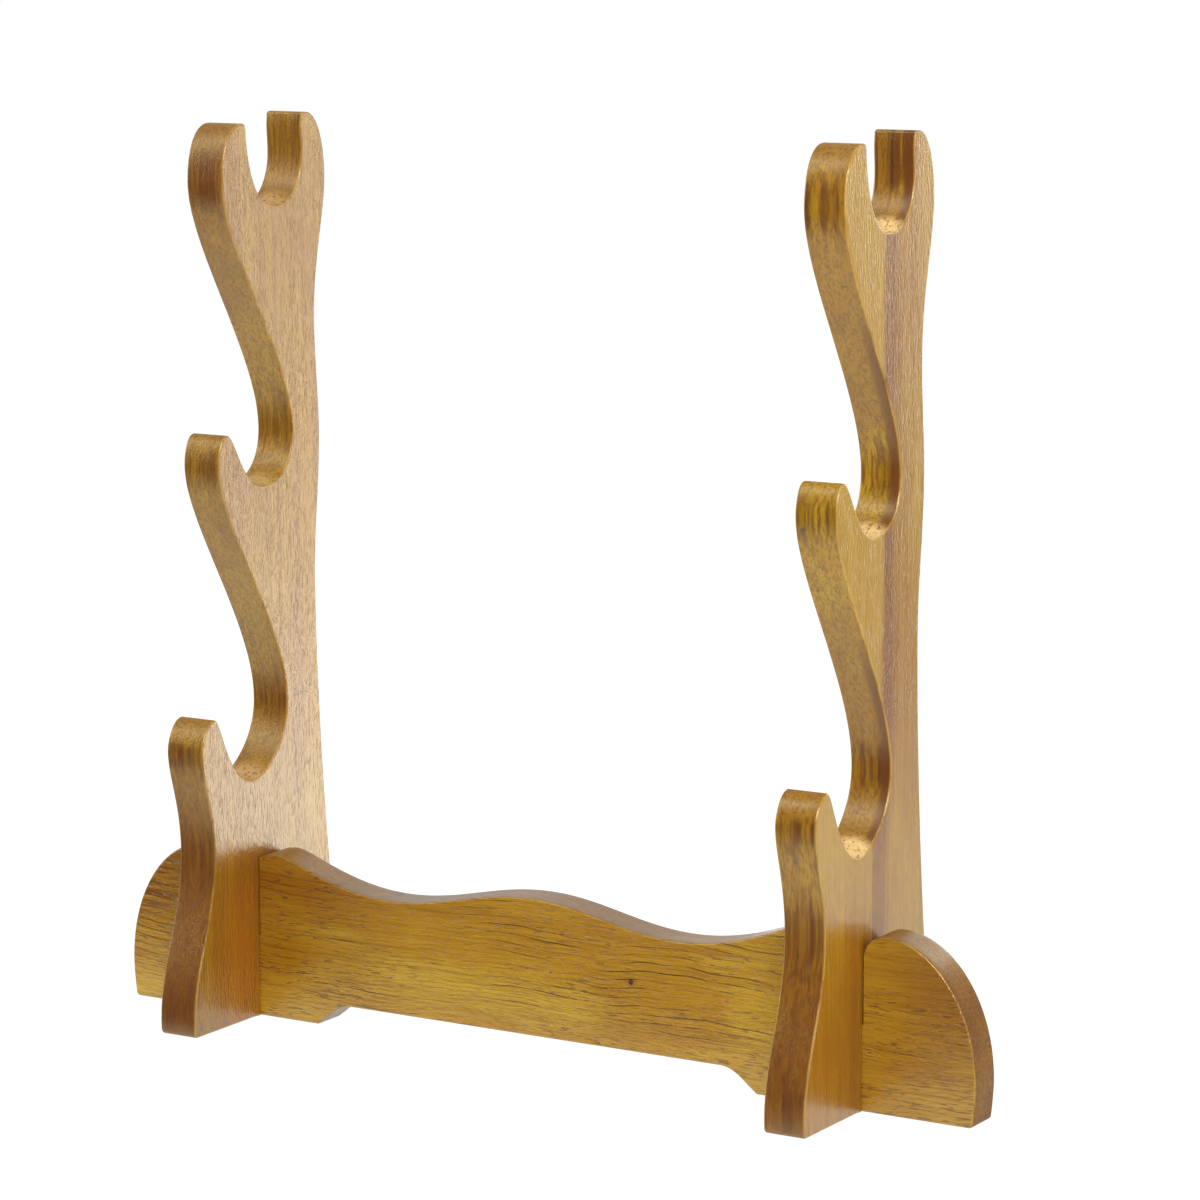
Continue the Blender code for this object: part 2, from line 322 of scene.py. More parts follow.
def crossing_box(node, along, bottom, top):
    """Where a node crosses another board: its box in that plane, cut to a range of heights."""
    low, high = (np.array(corner)[along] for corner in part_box(node))
    return (np.array((low[0] - SLOT_MARGIN, bottom)), np.array((high[0] + SLOT_MARGIN, top)))


board_in_upright = [crossing_box("cross_board", [Y, Z], BELOW_FLOOR, LAP_HEIGHT + SLOT_MARGIN)]
uprights_in_board = [crossing_box(node, [X, Z], LAP_HEIGHT - SLOT_MARGIN, ABOVE_ALL)
                     for node in ("left_upright", "right_upright")]
left_upright = make_board("left_upright", X, board_in_upright)
right_upright = make_board("right_upright", X, board_in_upright)
cross_board = make_board("cross_board", Y, uprights_in_board)

# %% [markdown]
# ## Writing materials as arithmetic
#
# A wood is a sum of many patterns: rings, fibres, pores, streaks.  Wiring that
# by hand is slow to read.  A small class that wraps one socket lets Python's
# own operators add the Math nodes, so a pattern reads like its formula.

# %% A socket with arithmetic
class Wire:
    """One output socket of a material, on which + - * and / add Math nodes."""

    def __init__(self, recipe, socket):
        self.recipe, self.socket = recipe, socket

    def math(self, operation, *others):
        return self.recipe.node("ShaderNodeMath", {"operation": operation}, self, *others)

    def __add__(self, other):
        return self.math("ADD", other)

    def __sub__(self, other):
        return self.math("SUBTRACT", other)

    def __mul__(self, other):
        return self.math("MULTIPLY", other)

    def __truediv__(self, other):
        return self.math("DIVIDE", other)

    def __rsub__(self, other):
        return self.recipe.node("ShaderNodeMath", {"operation": "SUBTRACT"}, other, self)

    __radd__, __rmul__ = __add__, __mul__


class Recipe:
    """A material's node tree, with one method that makes any node."""

    def __init__(self, name):
        self.material = bpy.data.materials.new(name)
        self.material.use_nodes = True
        self.tree = self.material.node_tree
        self.tree.nodes.clear()

    def node(self, kind, settings, *values, out=0, **named):
        """Add a node, set its settings, fill its sockets, and return one of its outputs."""
        made = self.tree.nodes.new(kind)
        for key, value in settings.items():
            setattr(made, key, value)
        sockets = list(zip(made.inputs, values))
        sockets += [(made.inputs[key.replace("_", " ")], value) for key, value in named.items()]
        for socket, value in sockets:
            if isinstance(value, Wire):
                self.tree.links.new(value.socket, socket)
            elif value is not None:
                socket.default_value = value
        return Wire(self, made.outputs[out]) if made.outputs else None

    def vector(self, operation, first, second):
        """Vector arithmetic, such as ADD or MULTIPLY."""
        return self.node("ShaderNodeVectorMath", {"operation": operation}, first, second)

    def rise(self, value, low, high, bottom=0.0, top=1.0):
        """A smooth step from bottom to top as value goes from low to high."""
        return self.node("ShaderNodeMapRange", {"interpolation_type": "SMOOTHSTEP"},
                         value, low, high, bottom, top)

    def mix(self, factor, first, second):
        """A colour between two colours."""
        made = self.tree.nodes.new("ShaderNodeMix")
        made.data_type = "RGBA"
        for name, value in (("Factor_Float", factor), ("A_Color", first), ("B_Color", second)):
            socket = next(s for s in made.inputs if s.identifier == name)
            if isinstance(value, Wire):
                self.tree.links.new(value.socket, socket)
            else:
                socket.default_value = value
        return Wire(self, next(s for s in made.outputs if s.identifier == "Result_Color"))


def colour(red, green, blue):
    """A colour written in linear light, with its alpha."""
    return (red, green, blue, 1.0)


print("a warm brown is written", colour(0.40, 0.20, 0.05))

# %% [markdown]
# ## Wood that is solid all through
#
# The boards are a warm tropical hardwood under an amber stain.  A photograph
# of grain wrapped round a board breaks at every edge.  A pattern worked out
# from the place inside the board doesn't: lines on the face turn into dots on
# the end grain, as they do in a plank.  So every pattern below is noise that
# is drawn out along the grain, kept in one table where its scale can be read.

# %% The patterns of the wood
# (lumps in a metre across the grain, and along it, detail, roughness, layer),
# then the noise levels between which the pattern goes from absent to full
PATTERNS = {
    "clouds": ((30.0, 9.0, 3.0, 0.55, 1.0), (0.40, 0.62)),
    "bands": ((110.0, 2.0, 3.0, 0.55, 9.0), (0.48, 0.66)),
    "rings": ((360.0, 5.0, 2.0, 0.50, 2.0), (0.48, 0.62)),
    "fibres": ((900.0, 42.0, 3.0, 0.60, 3.0), (0.46, 0.60)),
    "speckle": ((1900.0, 1100.0, 2.0, 0.60, 7.0), (0.50, 0.66)),
    "pores": ((1300.0, 165.0, 1.0, 0.40, 5.0), (0.58, 0.68)),
    "pore clumps": ((60.0, 14.0, 2.0, 0.50, 6.0), (0.42, 0.60)),
    "orange peel": ((1000.0, 330.0, 2.0, 0.50, 4.0), (0.35, 0.70)),
    # the rubbed arrises are partly real wear and partly a painted highlight
    "worn edges and highlight": ((160.0, 40.0, 2.0, 0.50, 8.0), (0.30, 0.62)),
    "edge streaks": ((190.0, 3.0, 2.0, 0.45, 20.0), (0.54, 0.66)),
    "fine edge streaks": ((620.0, 9.0, 2.0, 0.50, 21.0), (0.50, 0.70)),
    "smudges": ((360.0, 240.0, 1.0, 0.40, 22.0), (0.70, 0.78)),
    "rosy bands": ((150.0, 1.6, 2.0, 0.50, 23.0), (0.53, 0.66)),
    "stripe fibres": ((420.0, 3.0, 2.0, 0.50, 24.0), (0.40, 0.60)),
    "line stretches": ((60.0, 13.0, 2.0, 0.50, 30.0), (0.50, 0.60)),
    "line dashes": ((700.0, 55.0, 1.0, 0.40, 35.0), (0.42, 0.56)),
    "wing ribs": ((900.0, 30.0, 1.0, 0.40, 33.0), (0.45, 0.58)),
}
print("patterns in the wood:", len(PATTERNS))


# %% Noise that follows the grain
SWAY_LAYER = 10.0


def drawn_out(grain_axis, across, along):
    """Scale that makes noise across per metre over the grain and along per metre with it."""
    scale = [across, across, across]
    scale[grain_axis] = along
    return tuple(scale)


class Grain:
    """The patterns of one board, in metres of the board itself.

    sways are (reach, across, along): the grain leans by up to about half of reach,
    in waves of so many to a metre across and along it.
    """

    def __init__(self, recipe, grain_axis, seed, sways):
        self.recipe, self.axis, self.seed = recipe, grain_axis, seed
        self.here = recipe.node("ShaderNodeTexCoord", {}, out="Object")
        self.place, self.levels = self.here, {}
        for k, (reach, across, along) in enumerate(sways):
            spot = self.spot(self.here, across, along, SWAY_LAYER + k)
            cloud = recipe.node("ShaderNodeTexNoise", {}, out="Color", Vector=spot,
                                Scale=1.0, Detail=1.0, Roughness=0.5)
            centred = recipe.vector("SUBTRACT", cloud, (0.5, 0.5, 0.5))
            pushed = recipe.vector("MULTIPLY", centred, drawn_out(grain_axis, reach, 0.0))
            self.place = recipe.vector("ADD", self.place, pushed)

    def spot(self, place, across, along, layer):
        """A place scaled for noise, and moved so that each layer and board has its own."""
        shift = (self.seed * 7.3 + layer, self.seed * 3.1 - layer, self.seed * 5.7 + 2 * layer)
        return self.recipe.node("ShaderNodeMapping", {"vector_type": "POINT"}, place, shift,
                                (0.0, 0.0, 0.0), drawn_out(self.axis, across, along))

    def noise(self, across, along, detail, roughness, layer):
        """Noise with so many lumps in a metre across the grain and along it."""
        return self.recipe.node("ShaderNodeTexNoise", {},
                                Vector=self.spot(self.place, across, along, layer), Scale=1.0,
                                Detail=detail, Roughness=roughness)

    def level(self, name):
        """The bare noise of a pattern in the table, made once and then used again."""
        if name not in self.levels:
            self.levels[name] = self.noise(*PATTERNS[name][0])
        return self.levels[name]

    def pattern(self, name):
        """A pattern in the table: 0 where it is absent and 1 where it is full."""
        return self.recipe.rise(self.level(name), *PATTERNS[name][1])

    def part(self, axis):
        """One coordinate of the swayed place, in metres."""
        parts = self.recipe.node("ShaderNodeSeparateXYZ", {}, self.place).socket.node.outputs
        return Wire(self.recipe, parts[axis])

    def lines(self, axis, spacing, wander, across, along, width, layer):
        """Thin lines along the grain, a spacing apart, that wander by so many spacings.

        A line runs where place / spacing + wander * noise is half way between whole numbers.
        """
        noise = self.noise(across, along, 2.0, 0.5, layer)
        level = self.part(axis) / spacing + wander * noise
        away = (level.math("FRACT") - 0.5).math("ABSOLUTE")
        return self.recipe.rise(away, 0.5 * width, width, 1.0, 0.0)

    def near(self, centre, size, soft):
        """1 round a centre and 0 beyond an ellipsoid of half sizes, over a soft share of them."""
        away = self.recipe.vector("SUBTRACT", self.here, centre)
        away = self.recipe.vector("DIVIDE", away, size)
        length = self.recipe.node("ShaderNodeVectorMath", {"operation": "LENGTH"}, away,
                                  out="Value")
        return self.recipe.rise(length, 1.0 - soft, 1.0, 1.0, 0.0)


print("fibres are drawn out by the scale", drawn_out(Z, *PATTERNS["fibres"][0][:2]))

# %% [markdown]
# ## Marks that tell the boards apart
#
# The boards came from different places in the log, so each has marks of its
# own: streaks on the sawn edges, a heart stripe, a pin knot.  A mark could be
# painted into an image, which would have to be unwrapped on to the board.
# Here each one is a soft band or ellipsoid in the board's own metres, so it
# colours the face, the edge and the inside of a slot together.

# %% Stain colours, and the colours of painted shade, reflection, highlight and sheen
UMBER = colour(0.060, 0.016, 0.002)
RED_BROWN = colour(0.150, 0.036, 0.003)
ROSE_BROWN = colour(0.235, 0.062, 0.022)
HEART_ROSE = colour(0.225, 0.050, 0.003)
# the next three are painted light: shade on the feet, shade and reflection where the boards meet,
# and the cross board mirrored on an upright's side
FOOT_SHADE_BROWN = colour(0.180, 0.038, 0.001)
SHADE_AND_REFLECTION_AMBER = colour(0.240, 0.056, 0.001)
REFLECTED_BOARD_AMBER = colour(0.520, 0.140, 0.001)
SAPWOOD = colour(0.500, 0.290, 0.050)
GOLDEN = colour(0.600, 0.350, 0.012)
# the next two are pale colours that are partly painted light: a highlight on the worn arrises and
# a sheen on the torn seats
STRAW_WEAR_AND_HIGHLIGHT = colour(0.620, 0.360, 0.085)
TORN_STRAW_AND_SHEEN = colour(0.960, 0.660, 0.270)
SLATE = colour(0.100, 0.075, 0.050)

RIGHT = (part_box("right_upright")[0][X] - upright_low[X]) / 2
print("the middle of the right upright is at x = %.2f mm" % (1000 * RIGHT))


# %% Marks that both uprights have
# the front of each foot is darkened with painted shade
FOOT_SHADE_PLACE, FOOT_SHADE_SIZE = (-0.045, 0.035), (0.030, 0.030, 0.078)
# the side in front of the cross board carries a painted amber reflection of the board
BOARD_REFLECTION_PLACE, BOARD_REFLECTION_SIZE = (-0.020, 0.020), (0.030, 0.030, 0.070)
FOOT_SHADE_AMOUNT, BOARD_REFLECTION_AMOUNT, FINE_SHARE = 0.60, 0.60, 0.55


def edge_streaks(w, grain, shade, on_edge, amount):
    """Dark heartwood streaks that show on the sawn front edge."""
    shade = w.mix(grain.pattern("edge streaks") * on_edge * amount, shade, RED_BROWN)
    fine = grain.pattern("fine edge streaks")
    return w.mix(fine * on_edge * (FINE_SHARE * amount), shade, UMBER)


def painted_foot_shade(w, grain, shade, on_edge, across):
    """Painted shade on the front of the foot, which mirrors its own shadow on the floor."""
    foot = grain.near((across, *FOOT_SHADE_PLACE), FOOT_SHADE_SIZE, 0.6)
    return w.mix(foot * on_edge * FOOT_SHADE_AMOUNT, shade, FOOT_SHADE_BROWN)


def painted_board_reflection(w, grain, shade, faceness, across, amber):
    """A painted reflection of the cross board: deep amber on the side just in front of it."""
    glow = grain.near((across, *BOARD_REFLECTION_PLACE), BOARD_REFLECTION_SIZE, 0.8)
    return w.mix(glow * faceness * BOARD_REFLECTION_AMOUNT, shade, amber)


def smudges(w, grain, shade, on_edge, amount):
    """Small slate-grey spots where the stain met resin."""
    return w.mix(grain.pattern("smudges") * on_edge * amount, shade, SLATE)


print("the dark foot reaches %.0f mm up" % (1000 * (FOOT_SHADE_PLACE[1] + FOOT_SHADE_SIZE[2])))


# %% Marks of the left upright
STREAKS_ON_SLOPE = 0.80


def left_marks(w, grain, shade, faceness, slope):
    """Darker noses, a painted amber reflection of the cross board on the side, faint rosy bands.
    """
    on_edge = 1.0 - faceness
    # painted shade on the front of the foot
    shade = painted_foot_shade(w, grain, shade, on_edge, -RIGHT)
    # painted reflection of the cross board on the side in front of it
    shade = painted_board_reflection(w, grain, shade, faceness, -RIGHT, REFLECTED_BOARD_AMBER)
    upright_edge = on_edge * (1.0 - STREAKS_ON_SLOPE * slope)
    shade = edge_streaks(w, grain, shade, upright_edge, 0.90)
    shade = w.mix(on_edge * (1.0 - slope) * 0.22, shade, RED_BROWN)
    shade = smudges(w, grain, shade, on_edge, 0.4)
    return w.mix(grain.pattern("rosy bands") * faceness * 0.15, shade, ROSE_BROWN)


print("left upright:", left_marks.__doc__)


# %% Marks of the right upright
STRIPE_FRONT_LOW, STRIPE_FRONT_HIGH = 0.0010, 0.0088
STRIPE_LEANS_FROM, STRIPE_LEANS_TO = 0.095, 0.160
HEART_PLACE, HEART_SIZE = (RIGHT + 0.0062, 0.0300, 0.40), (0.0034, 0.010, 0.060)
DARK_LINE_PLACE, DARK_LINE_SIZE = (RIGHT - 0.001, 0.030, 0.37), (0.0012, 0.010, 0.040)


def heart_stripe(w, grain, shade, faceness):
    """A rosy stripe with a sharp front edge that fades backwards, golden wood before it.

    The distance behind the front edge is y less the edge's own y, which moves from
    STRIPE_FRONT_LOW to STRIPE_FRONT_HIGH between the two heights where the stripe leans.
    """
    height = grain.part(Z)
    behind = grain.part(Y) - w.rise(height, STRIPE_LEANS_FROM, STRIPE_LEANS_TO,
                                    STRIPE_FRONT_LOW, STRIPE_FRONT_HIGH)
    stripe = w.rise(behind, -0.0005, 0.0009) * w.rise(behind, 0.004, 0.018, 1.0, 0.0)
    stripe = stripe * (0.70 + 0.30 * grain.pattern("stripe fibres"))
    shade = w.mix(stripe * faceness * 0.92, shade, HEART_ROSE)
    golden = w.rise(behind, -0.0005, -0.0030) * w.rise(height, 0.06, 0.12)
    shade = w.mix(golden * faceness * 0.50, shade, GOLDEN)
    sapwood = w.rise(behind, 0.012, 0.028) * w.rise(height, 0.30, 0.22)
    return w.mix(sapwood * faceness * 0.12, shade, SAPWOOD)


def right_marks(w, grain, shade, faceness, slope):
    """A rosy heart stripe down the face, a red-brown one up the notch, and darker edges."""
    on_edge = 1.0 - faceness
    # painted shade on the front of the foot
    shade = painted_foot_shade(w, grain, shade, on_edge, RIGHT)
    upright_edge = on_edge * (1.0 - STREAKS_ON_SLOPE * slope)
    shade = edge_streaks(w, grain, shade, upright_edge, 0.85)
    shade = smudges(w, grain, shade, on_edge, 0.8)
    shade = heart_stripe(w, grain, shade, faceness)
    # painted reflection of the cross board on the side in front of it
    shade = painted_board_reflection(w, grain, shade, faceness, RIGHT, SHADE_AND_REFLECTION_AMBER)
    shade = w.mix(grain.near(HEART_PLACE, HEART_SIZE, 0.25) * 0.75, shade, RED_BROWN)
    bay_band = w.rise(grain.part(X), RIGHT + 0.0032, RIGHT + 0.0060)
    bay_band = bay_band * on_edge * w.rise(grain.part(Y), -0.012, 0.004)
    shade = w.mix(bay_band * 0.85, shade, RED_BROWN)
    return w.mix(grain.near(DARK_LINE_PLACE, DARK_LINE_SIZE, 0.7) * 0.6, shade, UMBER)


print("right upright:", right_marks.__doc__)


# %% Marks of the cross board
PORE_LINES = {"axis": Z, "spacing": 0.0034, "wander": 2.2, "across": 26.0, "along": 20.0,
              "width": 0.085, "layer": 31.0}
RIPPLES = {"axis": Z, "spacing": 0.0019, "wander": 2.0, "across": 34.0, "along": 34.0,
           "width": 0.16, "layer": 32.0}
KNOT_PLACE, KNOT_SIZE = (0.0482, -0.0076, 0.0383), (0.0014, 0.004, 0.0018)
HALO_PLACE, HALO_SIZE = (0.0482, -0.0076, 0.0385), (0.0045, 0.006, 0.0032)
RIBBED_WING_PLACE, RIBBED_WING_SIZE = (-0.1930, -0.0076, 0.050), (0.024, 0.006, 0.020)
# both ends of the board are darkened near the uprights: painted shade and reflection of the
# uprights
LEFT_END_SHADE_PLACE, LEFT_END_SHADE_SIZE = (-0.150, 0.0, 0.060), (0.110, 0.05, 0.065)
RIGHT_END_SHADE_PLACE, RIGHT_END_SHADE_SIZE = (0.195, 0.0, 0.060), (0.075, 0.05, 0.090)


def board_marks(w, grain, shade, faceness, slope):
    """Wandering pore lines, a pin knot, a wing with ribbed figure, and ends in painted amber
    shade.
    """
    dashed = grain.pattern("line dashes")
    lines = grain.lines(**PORE_LINES) * grain.pattern("line stretches") * (0.45 + 0.55 * dashed)
    shade = w.mix(grain.lines(**RIPPLES) * dashed * 0.30, shade, RED_BROWN)
    fewer_on_right_wing = w.rise(grain.part(X), 0.150, 0.160, 1.0, 0.45)
    shade = w.mix(lines * fewer_on_right_wing * 0.85, shade, UMBER)
    shade = w.mix(grain.near(HALO_PLACE, HALO_SIZE, 0.9) * 0.35, shade, RED_BROWN)
    shade = w.mix(grain.near(KNOT_PLACE, KNOT_SIZE, 0.5) * 0.95, shade, UMBER)
    ribs = grain.near(RIBBED_WING_PLACE, RIBBED_WING_SIZE, 0.7) * grain.pattern("wing ribs")
    shade = w.mix(ribs * 0.75, shade, UMBER)
    # painted shade and reflection where each upright stands over the board
    left_end_shade = grain.near(LEFT_END_SHADE_PLACE, LEFT_END_SHADE_SIZE, 0.9)
    shade = w.mix(left_end_shade * faceness * 0.66, shade, SHADE_AND_REFLECTION_AMBER)
    right_end_shade = grain.near(RIGHT_END_SHADE_PLACE, RIGHT_END_SHADE_SIZE, 0.9)
    return w.mix(right_end_shade * faceness * 0.62, shade, SHADE_AND_REFLECTION_AMBER)


print("cross board:", board_marks.__doc__)

# %% [markdown]
# ## Stain, torn seats, rubbed edges and painted highlights
#
# Stain sinks deepest into the soft early wood, so the figure shows as darker
# bands, rings and fibres over a cloudy ground.  In the notch and the hooks the
# saw crossed the grain and tore it, and the broken ends took little stain; their
# pale colour is partly a painted sheen on these up-facing seats.  Along the
# round-overs the sander rubbed the stain thin, and the pale line there is partly
# a painted highlight.  A few masks on one colour say all of this more plainly
# than separate materials would.

# %% The colour of the stained wood
def ground_colour(w, grain, tones, faceness, slope, figure):
    """Light and middle clouds, with bands, rings, fibres and speckle in the dark tone.

    tones are the (light, middle, dark) colours of the faces and of the sawn edges.
    """
    light, middle, dark = (w.mix(faceness, edge, face) for face, edge in zip(*tones))
    calm = 1.0 - 0.75 * slope
    shade = w.mix(grain.pattern("clouds"), middle, light)
    shade = w.mix(grain.pattern("bands") * calm * figure * 0.45, shade, dark)
    shade = w.mix(grain.pattern("rings") * calm * figure * 0.40, shade, dark)
    shade = w.mix(grain.pattern("fibres") * (0.55 - 0.30 * faceness), shade, dark)
    return w.mix(grain.pattern("speckle") * (0.32 - 0.17 * faceness), shade, dark)


# The middles of the notch and the two hooks: (depth, height)
SEAT_PLACES = ((0.0135, 0.3408), (0.0009, 0.2249), (-0.0096, 0.1016))
SEAT_SIZE = (0.016, 0.0160, 0.0120)
CRUMBS = {"Scale": 620.0, "Detail": 4.0, "Roughness": 0.62, "Distortion": 0.8}
CRUMB_HEIGHT = 2.2


def torn_seats(w, grain, shade, height, tilt, across, amount):
    """Torn fibres with dark cracks in the notch and hooks, raised above the rest, pale partly by
    painted sheen.
    """
    rough = 0.0
    for seat in SEAT_PLACES:
        rough = grain.near((across, *seat), SEAT_SIZE, 0.5) * amount + rough
    crumbs = w.node("ShaderNodeTexNoise", {}, Vector=grain.here, **CRUMBS)
    rough = rough * w.rise(tilt, 0.20, 0.65)
    # pale torn fibres: partly their own colour, partly a painted sheen on the up-facing seats
    shade = w.mix(rough * w.rise(crumbs, 0.34, 0.50), shade, TORN_STRAW_AND_SHEEN)
    shade = w.mix(rough * w.rise(crumbs, 0.44, 0.36) * 0.60, shade, RED_BROWN)
    return shade, height + rough * crumbs * CRUMB_HEIGHT


print("torn seats at heights", [round(1000 * high) for _, high in SEAT_PLACES], "mm")

# %% [markdown]
# ## Lacquer
#
# A clear lacquer lies over the stain, glossy on the faces, thinner on the sawn
# edges, and soaked in where the end grain is open.  It could be one shader
# with a roughness for each place.  Two mixed by the slope of the surface are
# closer to the real thing, because the thirsty end grain has no film at all.
# The lacquer has an amber tint, so what it mirrors looks warm.

# %% Lacquered wood
LACQUER_IOR, CLEAR_COAT_IOR, BARE_IOR = 2.0, 1.5, 1.5
LACQUER_TINT = colour(1.0, 0.96, 0.62)
THIN_COAT, COAT_ROUGHNESS, BARE_ROUGHNESS = 0.05, 0.15, 0.50


def wood(name, grain_axis, face_axis, seed, sways, tones, pore_tone, figure, pore_depth,
         wear_and_highlight, relief, coat, marks, seats=None):
    """Stained solid wood under lacquer.

    tones are the (light, middle, dark) colours of the broad faces and of the sawn edges.
    figure and pore_depth are how strong the figure and the pores are, wear is how pale
    the arrises are, rubbed thin and partly a painted highlight, relief is the height of
    the bumps in metres, and coat is how much clear film the faces have.  marks adds a
    board's own marks, and seats is the (x, amount) of the torn end grain.
    """
    w = Recipe(name)
    grain = Grain(w, grain_axis, seed, sways)
    normal = w.node("ShaderNodeTexCoord", {}, out="Normal")
    parts = w.node("ShaderNodeSeparateXYZ", {}, normal).socket.node.outputs
    faceness = w.rise(Wire(w, parts[face_axis]).math("ABSOLUTE"), 0.25, 0.95)
    tilt = Wire(w, parts[grain_axis]).math("ABSOLUTE")
    slope, endness = w.rise(tilt, 0.12, 0.42), w.rise(tilt, 0.55, 0.95)

    shade = ground_colour(w, grain, tones, faceness, slope, figure)
    shade = marks(w, grain, shade, faceness, slope)
    pores = grain.pattern("pores") * (0.40 + 0.60 * grain.pattern("pore clumps"))
    shade = w.mix(pores * pore_depth, shade, pore_tone)
    peel = grain.level("orange peel")
    height = 0.80 * peel + 0.50 * grain.level("fibres") - 0.55 * pores
    height = height * (0.30 + 0.70 * faceness) + 0.20 * grain.level("speckle")
    if seats:
        shade, height = torn_seats(w, grain, shade, height, tilt, *seats)
    arris = w.node("ShaderNodeAttribute", {"attribute_name": "arris"}, out="Fac")
    # pale arrises: stain rubbed thin, and partly a painted highlight
    shade = w.mix(arris * grain.pattern("worn edges and highlight") * wear_and_highlight, shade, STRAW_WEAR_AND_HIGHLIGHT)

    bump = w.node("ShaderNodeBump", {}, Strength=1.0, Distance=relief, Height=height)
    peel_levels = PATTERNS["orange peel"][1]
    gloss = w.rise(peel, *peel_levels, 0.20, 0.26) + 0.10 * (1.0 - faceness)
    lacquered = w.node("ShaderNodeBsdfPrincipled", {}, Base_Color=shade, Roughness=gloss,
                       IOR=LACQUER_IOR, Specular_Tint=LACQUER_TINT, Normal=bump,
                       Coat_Weight=THIN_COAT + coat * faceness,
                       Coat_Roughness=COAT_ROUGHNESS, Coat_IOR=CLEAR_COAT_IOR)
    thirsty = w.node("ShaderNodeBsdfPrincipled", {}, Base_Color=shade, Normal=bump,
                     Roughness=BARE_ROUGHNESS, IOR=BARE_IOR, Specular_Tint=LACQUER_TINT)
    shader = w.node("ShaderNodeMixShader", {}, endness, lacquered, thirsty)
    w.node("ShaderNodeOutputMaterial", {}, Surface=shader)
    return w.material


print("lacquer mirrors with an index of refraction of", LACQUER_IOR)

# %% The finish of each board
# Tones in linear light: (light, middle, dark)
LEFT_FACE = (colour(0.43, 0.206, 0.003), colour(0.37, 0.146, 0.001),
             colour(0.25, 0.072, 0.001))
LEFT_EDGE = (colour(0.45, 0.222, 0.001), colour(0.34, 0.138, 0.001),
             colour(0.14, 0.044, 0.001))
RIGHT_FACE = (colour(0.51, 0.268, 0.007), colour(0.43, 0.184, 0.002),
              colour(0.27, 0.078, 0.001))
RIGHT_EDGE = (colour(0.51, 0.275, 0.002), colour(0.39, 0.174, 0.001),
              colour(0.16, 0.046, 0.001))
BOARD_FACE = (colour(0.64, 0.385, 0.024), colour(0.52, 0.255, 0.006),
              colour(0.28, 0.100, 0.001))
BOARD_EDGE = (colour(0.32, 0.135, 0.010), colour(0.24, 0.085, 0.004),
              colour(0.12, 0.040, 0.002))
PORE_BROWN = colour(0.150, 0.042, 0.006)
DASH_BROWN = colour(0.130, 0.034, 0.001)
UPRIGHT_SWAYS = ((0.010, 14.0, 3.0), (0.0010, 60.0, 22.0))
BOARD_SWAYS = ((0.009, 10.0, 5.0), (0.0026, 42.0, 38.0))

finishes = {
    left_upright: wood(
        "left_upright_wood", grain_axis=Z, face_axis=X, seed=1.0, sways=UPRIGHT_SWAYS,
        tones=(LEFT_FACE, LEFT_EDGE), pore_tone=PORE_BROWN, figure=0.8, pore_depth=0.18,
        wear_and_highlight=0.65, relief=0.00045, coat=0.42, marks=left_marks, seats=(-RIGHT, 0.45)),
    right_upright: wood(
        "right_upright_wood", grain_axis=Z, face_axis=X, seed=2.0, sways=UPRIGHT_SWAYS,
        tones=(RIGHT_FACE, RIGHT_EDGE), pore_tone=PORE_BROWN, figure=0.9, pore_depth=0.14,
        wear_and_highlight=0.65, relief=0.00022, coat=0.26, marks=right_marks, seats=(RIGHT, 1.3)),
    cross_board: wood(
        "cross_board_wood", grain_axis=X, face_axis=Y, seed=3.0, sways=BOARD_SWAYS,
        tones=(BOARD_FACE, BOARD_EDGE), pore_tone=DASH_BROWN, figure=0.45, pore_depth=0.60,
        wear_and_highlight=0.12, relief=0.0003, coat=0.05, marks=board_marks),
}
for piece, finish in finishes.items():
    piece.data.materials.append(finish)
print("finishes:", [finish.name for finish in finishes.values()])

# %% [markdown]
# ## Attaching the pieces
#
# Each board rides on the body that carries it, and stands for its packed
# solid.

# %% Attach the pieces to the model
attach(left_upright, "left_side")
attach(right_upright, "right_side")
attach(cross_board, "board")
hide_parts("left_upright")
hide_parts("right_upright")
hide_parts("cross_board")
print("pieces:", [piece.name for piece in finishes])

# %% [markdown]
# ## The white floor and the room
#
# The stand was photographed on white paper with soft lights behind it and to
# its right, in a room that is dimmer behind the photographer.  Lacquer mirrors
# that room: the sides that face the bright paper look pale, and the edges that
# face the dim side of the room keep their full colour.  A real studio could be
# modelled wall by wall.  Letting the light depend on the direction does the
# same with one formula.

# %% How bright the room is in each direction
PAPER_WAY, SKY_WAY = (0.45, 0.89, 0.0), (-0.60, 0.80, 0.0)
ROOM_DIM, PAPER_BRIGHT, SKY_BRIGHT = 0.05, 0.80, 0.88
WHITE = colour(1.0, 1.0, 1.0)


def grey(level):
    """A grey in linear light."""
    return colour(level, level, level)


def room_light(recipe, way, bright_way, low, high, bright):
    """Brightness in a direction: a smooth step on its cosine with the brightest way."""
    unit = recipe.node("ShaderNodeVectorMath", {"operation": "NORMALIZE"}, way)
    facing = recipe.node("ShaderNodeVectorMath", {"operation": "DOT_PRODUCT"}, unit,
                         bright_way, out="Value")
    return recipe.rise(facing, low, high, ROOM_DIM, bright)


def ray_is(recipe, *kinds):
    """1 for light rays of any of the kinds."""
    outputs = recipe.node("ShaderNodeLightPath", {}).socket.node.outputs
    found = Wire(recipe, outputs[kinds[0]])
    for kind in kinds[1:]:
        found = found.math("MAXIMUM", Wire(recipe, outputs[kind]))
    return found


print("the room goes from", ROOM_DIM, "to", SKY_BRIGHT)

# %% The white floor
FLOOR_HALF, FLOOR_DROP = 6.0, 0.0003
PAPER_GREY, SEEN_GLOW, SEEN_GREY = 0.80, 0.96, 0.16

